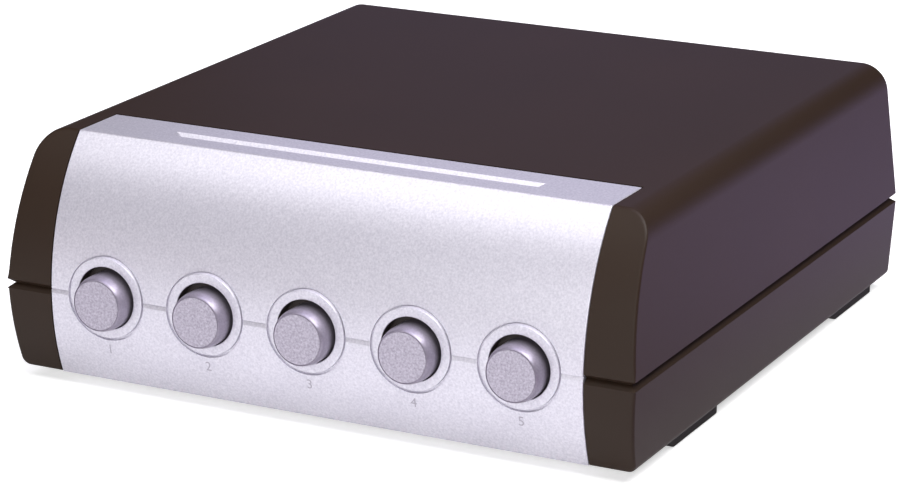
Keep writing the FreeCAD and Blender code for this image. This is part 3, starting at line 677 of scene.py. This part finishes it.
# Screws: pan heads with a cross recess and a rolled thread. The four case screws point up, the
# four board screws point down.
screwSizes = {
    "head": 2.8, "headDepth": 2.0, "dome": 0.7, "domeSteps": 4, "crossWidth": 0.7, "crossSpan": 3.2,
    "crossDepth": 1.1, "crossOver": 1, "shank": 1.22, "length": 12, "shankSink": 0.4, "sides": 24,
    "pitch": 1.0, "turns": 10, "rootSink": 0.1, "crest": 1.48, "crestFrom": 0.42, "crestTo": 0.52,
    "rootTo": 0.94, "smoothAngle": 40,
    "caseX": (-110, 110), "caseY": (25, 175), "boardX": (-90, 90), "boardY": (33, 100), "seat": -6,
}


def windProfile(piece, axis, steps, turns, pitch):             # sweeps an outline into a coil
    winding = piece.modifiers.new("winding", "SCREW")
    winding.axis = axis
    winding.steps = winding.render_steps = steps
    winding.iterations = turns
    winding.screw_offset = pitch
    winding.use_normal_calculate = True
    focus(piece)
    bpy.ops.object.modifier_apply(modifier=winding.name)


def addPeg(name, radius, low, high, sides):                    # its axis runs up
    bpy.ops.object.select_all(action="DESELECT")
    bpy.ops.mesh.primitive_cylinder_add(vertices=sides, radius=radius, depth=high - low,
                                        location=(0, 0, (low + high) / 2))
    return named(name)


def makeThread():                           # one profile of the ridge, wound up the shank
    sizes = screwSizes
    root = sizes["shank"] - sizes["rootSink"]
    corners = [(root, 0, 0), (sizes["crest"], 0, sizes["crestFrom"]), (root, 0, sizes["rootTo"]),
               (sizes["crest"], 0, sizes["crestTo"])]
    bpy.ops.object.select_all(action="DESELECT")
    bpy.ops.mesh.primitive_plane_add(size=1, location=(0, 0, 0))
    thread = named("thread")
    for point, corner in zip(thread.data.vertices, corners):
        point.co = corner
    openMesh(thread)
    bpy.ops.mesh.select_all(action="SELECT")
    bpy.ops.mesh.delete(type="ONLY_FACE")
    closeMesh()
    windProfile(thread, "Z", sizes["sides"], sizes["turns"], sizes["pitch"])
    return thread


def makeScrew(name):                        # points up, the head's underside at the origin
    sizes = screwSizes
    headEnd = -sizes["headDepth"]
    head = addPeg(name, sizes["head"], headEnd, 0, sizes["sides"] * 2)
    softenEdges(head, sizes["dome"], sizes["domeSteps"],
                lambda edge, middle: all(abs(point.co.z - headEnd) < touch for point in edge.verts))
    wide, narrow = sizes["crossSpan"] / 2, sizes["crossWidth"] / 2
    above, floorLevel = headEnd - sizes["crossOver"], headEnd + sizes["crossDepth"]
    bars = [addBlock("bar", (-halfX, -halfY, above), (halfX, halfY, floorLevel))
            for halfX, halfY in ((wide, narrow), (narrow, wide))]
    combine(head, bars)
    shank = addPeg("shank", sizes["shank"], -sizes["shankSink"], sizes["length"], sizes["sides"])
    screw = gather([head, shank, makeThread()], name)
    closeHoles(screw)
    return screw


pointUp, pointDown = Matrix.Identity(4), Matrix.Rotation(math.pi, 4, "X")
screwSpots = [(x, y, pointUp) for x in screwSizes["caseX"] for y in screwSizes["caseY"]]
screwSpots += [(x, y, pointDown) for x in screwSizes["boardX"] for y in screwSizes["boardY"]]
template = makeScrew("screw")
screws = []
for x, y, turn in screwSpots:
    screw = copyOf(template, "screw")
    screw.data.transform(Matrix.Translation((x, y, screwSizes["seat"])) @ turn)
    screws.append(screw)
bpy.data.objects.remove(template)
screws = gather(screws, "crosshead_screws")
paint(screws, zincSteel)
smooth(screws, screwSizes["smoothAngle"])
settle(screws, "screws")
print("screws made")

# Return springs: drawn wire coils that shorten as the button goes in
springSizes = {
    "radius": 3.15, "wire": 0.25, "front": 9.9, "back": 27, "turns": 7, "level": -0.5, "travel": 4.5,
    "wireSides": 10, "coilSides": 28, "endSides": 40, "smoothAngle": 60,
}


def makeSpring(name, x):
    sizes = springSizes
    first, last = sizes["front"] + sizes["wire"], sizes["back"] - sizes["wire"]
    bpy.ops.object.select_all(action="DESELECT")
    bpy.ops.mesh.primitive_circle_add(vertices=sizes["wireSides"], radius=sizes["wire"],
                                      location=(sizes["radius"], 0, 0))
    coil = named(name)
    windProfile(coil, "Y", sizes["coilSides"], sizes["turns"], (last - first) / sizes["turns"])
    coil.data.transform(Matrix.Translation((x, first, sizes["level"])))
    ends = []
    for y in (first, last):                 # the dead coil that each end sits on
        bpy.ops.object.select_all(action="DESELECT")
        bpy.ops.mesh.primitive_torus_add(
            major_radius=sizes["radius"], minor_radius=sizes["wire"], major_segments=sizes["endSides"],
            minor_segments=sizes["wireSides"], location=(x, y, sizes["level"]), rotation=upright)
        ends.append(named("end"))
    spring = gather([coil, *ends], name)
    closeHoles(spring)
    return spring


for number, x in enumerate(spots, start=1):
    spring = makeSpring(f"coil_spring_{number}", x)
    paint(spring, drawnSteel)
    smooth(spring, springSizes["smoothAngle"])
    settle(spring, f"switch_spring_{number}")
    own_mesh(spring)
print("springs wound")

# Terminal levers: sprung tabs with a ribbed thumb face, plus in red and minus in black. One is
# made and copied to each cell.
leverSizes = {
    "edge": 0.35, "edgeSteps": 2, "sharp": 60, "edgeFrom": 234, "width": 9.4,
    "bend": (238.8, 24.8), "tip": (244.0, 26.8), "ribsAt": (0.3, 0.55, 0.8),
    "rib": 0.42, "ribSides": 16, "ribSink": 0.12, "ribMargin": 0.7,
}
lever = cadCopy("lever_amp_left_plus", "lever")
softenEdges(lever, leverSizes["edge"], leverSizes["edgeSteps"],
            lambda edge, middle: sharpOutside(edge, leverSizes["sharp"])
            and middle.y > leverSizes["edgeFrom"])
leverLow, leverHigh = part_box("lever_amp_left_plus")
leverMiddle = millimetres((leverLow.x + leverHigh.x) / 2)
ribWidth = leverSizes["width"] - 2 * leverSizes["ribMargin"]
(bendY, bendZ), (tipY, tipZ) = leverSizes["bend"], leverSizes["tip"]
ribs = []
for along in leverSizes["ribsAt"]:          # shares of the way from the bend to the tip
    ribY = bendY + (tipY - bendY) * along
    ribZ = bendZ + (tipZ - bendZ) * along - leverSizes["ribSink"]
    ribs.append(addBarrel("rib", leverSizes["rib"], ribWidth, (leverMiddle, ribY, ribZ),
                          leverSizes["ribSides"]))
combine(lever, ribs, "UNION")
for node in sorted(node for node in frame["nodes"] if node.startswith("lever_")):
    piece = copyOf(lever, node.replace("lever_", "terminal_lever_"))
    piece.data.transform(Matrix.Translation(millimetres(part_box(node)[0] - leverLow)))
    paint(piece, redPlastic if node.endswith("plus") else blackGloss)
    smooth(piece)
    settle(piece, node)
bpy.data.objects.remove(lever)
print("levers made")

# Terminal blocks: rounded face, funnel mouths for the bared wires, raised pole signs. One is
# made and copied to each place.
blockSizes = {
    "middle": -77.5, "halfWidth": 14, "level": 8, "halfHeight": 23, "face": 236, "cell": 6.3, "row": 11,
    "edge": 0.6, "edgeSteps": 3, "sharp": 60, "leastEdge": 20, "wireLevel": -4.6, "wire": 1.6,
    "wireClear": 0.05, "mouth": 2.5, "mouthDepth": 0.9, "mouthOver": 0.1, "mouthSides": 48,
    "signLevel": -9.6, "sign": 1.2, "signWidth": 0.25, "signProud": 0.25, "signSink": 0.3, "signStep": 0.02,
}


def blockEdge(edge, middle):                # the long edges round the face
    sizes = blockSizes
    atFace = middle.y > sizes["face"] - touch
    atSide = abs(middle.x - sizes["middle"]) > sizes["halfWidth"] - touch
    atEnd = abs(middle.z - sizes["level"]) > sizes["halfHeight"] - touch
    long = edge.calc_length() > sizes["leastEdge"]
    return sharpOutside(edge, sizes["sharp"]) and long and atFace and (atSide or atEnd)


def makeMouth(x, z):                        # a funnel, a little wider than the wire's hole at its end
    sizes = blockSizes
    depth = sizes["mouthDepth"] + sizes["mouthOver"]
    bpy.ops.object.select_all(action="DESELECT")
    bpy.ops.mesh.primitive_cone_add(
        vertices=sizes["mouthSides"], radius1=sizes["mouth"] + sizes["mouthOver"],
        radius2=sizes["wire"] + sizes["wireClear"], depth=depth,
        location=(x, sizes["face"] + sizes["mouthOver"] - depth / 2, z), rotation=upright)
    return named("mouth")


def makeSign(x, z, plus):                   # a bar, and for plus an upright one a step lower across it
    sizes = blockSizes
    sunk, proud = sizes["face"] - sizes["signSink"], sizes["face"] + sizes["signProud"]
    long, thin = sizes["sign"], sizes["signWidth"]
    bars = [addBlock("sign", (x - long, sunk, z - thin), (x + long, proud, z + thin))]
    if plus:
        lower = proud - sizes["signStep"]
        bars.append(addBlock("sign", (x - thin, sunk, z - long), (x + thin, lower, z + long)))
    return bars


block = cadCopy("terminal_block_amp", "block")
softenEdges(block, blockSizes["edge"], blockSizes["edgeSteps"], blockEdge)
mouths, signs = [], []
for row in (-1, 1):
    for hand in (-1, 1):                    # plus on the low side of X, minus on the high side
        x = blockSizes["middle"] + hand * blockSizes["cell"]
        z = blockSizes["level"] + row * blockSizes["row"]
        mouths.append(makeMouth(x, z + blockSizes["wireLevel"]))
        signs += makeSign(x, z + blockSizes["signLevel"], hand < 0)
combine(block, mouths)
combine(block, signs, "UNION")
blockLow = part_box("terminal_block_amp")[0]
for node in sorted(node for node in frame["nodes"] if node.startswith("terminal_block_")):
    piece = copyOf(block, node.replace("terminal_block_", "spring_terminal_block_"))
    piece.data.transform(Matrix.Translation(millimetres(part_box(node)[0] - blockLow)))
    paint(piece, polyamide)
    smooth(piece)
    settle(piece, node)
bpy.data.objects.remove(block)
print("terminal blocks made")

# Inside: transformers, terminal plate and switches, their long edges rounded
insideSizes = {
    "coreEdge": 0.4, "windingEdge": 0.8, "plateEdge": 0.4, "switchEdge": 0.4, "edgeSteps": 3, "sharp": 60,
    "leastEdge": 6,
}
insidePieces = [
    ("transformer_cores", "laminated_cores", laminations, insideSizes["coreEdge"]),
    ("transformer_windings", "taped_windings", windingTape, insideSizes["windingEdge"]),
    ("terminal_plate", "moulded_terminal_plate", polyamide, insideSizes["plateEdge"]),
]
for number in range(1, ringSizes["count"] + 1):
    insidePieces.append((f"switch_body_{number}", f"latching_switch_{number}", switchPlastic,
                         insideSizes["switchEdge"]))
for node, name, finish, width in insidePieces:
    piece = cadCopy(node, name)
    paint(piece, finish)
    softenEdges(piece, width, insideSizes["edgeSteps"],
                lambda edge, middle: sharpOutside(edge, insideSizes["sharp"])
                and edge.calc_length() > insideSizes["leastEdge"])
    smooth(piece)
    settle(piece, node)
print("inside pieces dressed")

# Floor: matt paper that glows where the camera sees it, so that it stays white under the soft
# shadow. In mirrored rays it glows less, and right of the object it is a lilac card, dark in
# front and pale behind, which gives the right side its sheen. Lengths here are in metres.
floorSizes = {
    "size": 8, "seenGlow": 0.62, "fadeFrom": 0.3, "fadeTo": 0.9, "mirroredGlow": 0.13,
    "cardFrom": 0.1, "cardTo": 0.16, "rearFrom": -0.05, "rearTo": 0.22,
    "paper": "f0f0f0", "cardFront": "98809c", "cardRear": "e2c8ff",
}
bpy.ops.object.select_all(action="DESELECT")
bpy.ops.mesh.primitive_plane_add(size=floorSizes["size"], location=(0, 0, 0))
floor = bpy.context.object
floor.name = "studio_floor"
floorSkin, tree = newMaterial("floor_white_paper")
path = addNode(tree, "ShaderNodeLightPath")
place = addNode(tree, "ShaderNodeTexCoord")
away = addNode(tree, "ShaderNodeVectorMath", {"operation": "LENGTH"}, {}, {0: place.outputs["Object"]})
fade = addNode(tree, "ShaderNodeMapRange", {},
               {"From Min": floorSizes["fadeFrom"], "From Max": floorSizes["fadeTo"],
                "To Min": floorSizes["seenGlow"], "To Max": 1.0}, {"Value": away.outputs["Value"]})
seen = addNode(tree, "ShaderNodeMath", {"operation": "MULTIPLY"}, {},
               {0: path.outputs["Is Camera Ray"], 1: fade.outputs["Result"]})
strength = addNode(tree, "ShaderNodeMath", {"operation": "MULTIPLY_ADD"}, {1: floorSizes["mirroredGlow"]},
                   {0: path.outputs["Is Glossy Ray"], 2: seen.outputs[0]})
split = addNode(tree, "ShaderNodeSeparateXYZ", {}, {}, {0: place.outputs["Object"]})
right = addNode(tree, "ShaderNodeMapRange", {},
                {"From Min": floorSizes["cardFrom"], "From Max": floorSizes["cardTo"]},
                {"Value": split.outputs["X"]})
mirrored = addNode(tree, "ShaderNodeMath", {"operation": "MULTIPLY"}, {},
                   {0: path.outputs["Is Glossy Ray"], 1: right.outputs["Result"]})
rear = addNode(tree, "ShaderNodeMapRange", {},
               {"From Min": floorSizes["rearFrom"], "From Max": floorSizes["rearTo"]},
               {"Value": split.outputs["Y"]})
card = addNode(tree, "ShaderNodeMix", {"data_type": "RGBA"},
               {"A": linearColour(floorSizes["cardFront"]), "B": linearColour(floorSizes["cardRear"])},
               {"Factor": rear.outputs["Result"]})
tone = addNode(tree, "ShaderNodeMix", {"data_type": "RGBA"}, {"A": linearColour(floorSizes["paper"])},
               {"Factor": mirrored.outputs[0], "B": card.outputs["Result"]})
paper = addNode(tree, "ShaderNodeBsdfDiffuse", {}, {}, {"Color": tone.outputs["Result"]})
glow = addNode(tree, "ShaderNodeEmission", {}, {"Color": (1, 1, 1, 1)}, {"Strength": strength.outputs[0]})
glowing = addNode(tree, "ShaderNodeAddShader", {}, {}, {0: paper.outputs[0], 1: glow.outputs[0]})
addNode(tree, "ShaderNodeOutputMaterial", {}, {}, {"Surface": glowing.outputs[0]})
floor.data.materials.append(floorSkin)

# World: white to the camera, a dim lilac fill to everything else
worldSizes = {"seen": 1.0, "fill": 0.06, "fillColour": "d3cbe8"}
world = bpy.data.worlds.new("studio")
bpy.context.scene.world = world
world.use_nodes = True
tree = world.node_tree
tree.nodes.clear()
path = addNode(tree, "ShaderNodeLightPath")
white = addNode(tree, "ShaderNodeBackground", {}, {"Color": (1, 1, 1, 1), "Strength": worldSizes["seen"]})
dim = addNode(tree, "ShaderNodeBackground", {},
              {"Color": linearColour(worldSizes["fillColour"]), "Strength": worldSizes["fill"]})
mix = addNode(tree, "ShaderNodeMixShader", {}, {},
              {0: path.outputs["Is Camera Ray"], 1: dim.outputs[0], 2: white.outputs[0]})
addNode(tree, "ShaderNodeOutputWorld", {}, {}, {"Surface": mix.outputs[0]})

# Lamps, all turned to the middle of the case: place, width and height in metres, watts, colour
lampAim = Vector((0, 0, 0.05))
softboxes = {
    "overhead_softbox": ((0.0, 0.1, 1.15), 0.6, 0.6, 3.1, "e8e2ff"),
    "right_overhead_softbox": ((0.6, 0, 1.0), 0.6, 0.6, 10.7, "ffffff"),
    "front_overhead_strip": ((-0.02, -0.66, 1.02), 1.6, 0.48, 6.7, "ffffff"),
    "front_low_softbox": ((0.1, -1.3, 0.4), 0.8, 0.6, 6.1, "ffffff"),
    "left_low_softbox": ((-0.9, -0.9, 0.12), 0.5, 0.3, 0.42, "ffeef0"),
    "back_right_softbox": ((0.9, 0.9, 0.17), 0.8, 0.3, 0.75, "d8ccff"),
    "back_left_softbox": ((-0.42, 1.22, 0.35), 0.8, 0.6, 0.84, "ccc4fc"),
    "left_rear_softbox": ((-1.3, 0.7, 0.25), 0.6, 0.4, 2.0, "ffffff"),
}
for name, (place, width, height, power, colour) in softboxes.items():
    light = bpy.data.lights.new(name, "AREA")
    light.shape = "RECTANGLE"
    light.color = linearColour(colour)[:3]
    light.size, light.size_y, light.energy = width, height, power
    lamp = bpy.data.objects.new(name, light)
    bpy.context.scene.collection.objects.link(lamp)
    lamp.location = place
    lamp.rotation_mode = "QUATERNION"
    lamp.rotation_quaternion = (Vector(place) - lampAim).to_track_quat("Z", "Y")

# Camera: place and clip in metres, turn and dip in degrees, roll in radians, lens and sensor in mm
cameraSizes = {
    "place": (0.5146, -1.0248, 0.3862), "turn": 26.976, "dip": 17.018, "roll": 0.002,
    "lens": 131.5, "sensor": 36, "clip": (0.05, 30),
}
cameraData = bpy.data.cameras.new("camera")
cameraData.lens, cameraData.sensor_width = cameraSizes["lens"], cameraSizes["sensor"]
cameraData.clip_start, cameraData.clip_end = cameraSizes["clip"]
camera = bpy.data.objects.new("camera", cameraData)
bpy.context.scene.collection.objects.link(camera)
camera.matrix_world = (Matrix.Translation(cameraSizes["place"])
                       @ Matrix.Rotation(math.radians(cameraSizes["turn"]), 4, "Z")
                       @ Matrix.Rotation(math.radians(90 - cameraSizes["dip"]), 4, "X")
                       @ Matrix.Rotation(cameraSizes["roll"], 4, "Z"))
bpy.context.scene.camera = camera
bpy.context.scene.view_settings.view_transform = "Standard"
print("stage, lamps and camera ready")
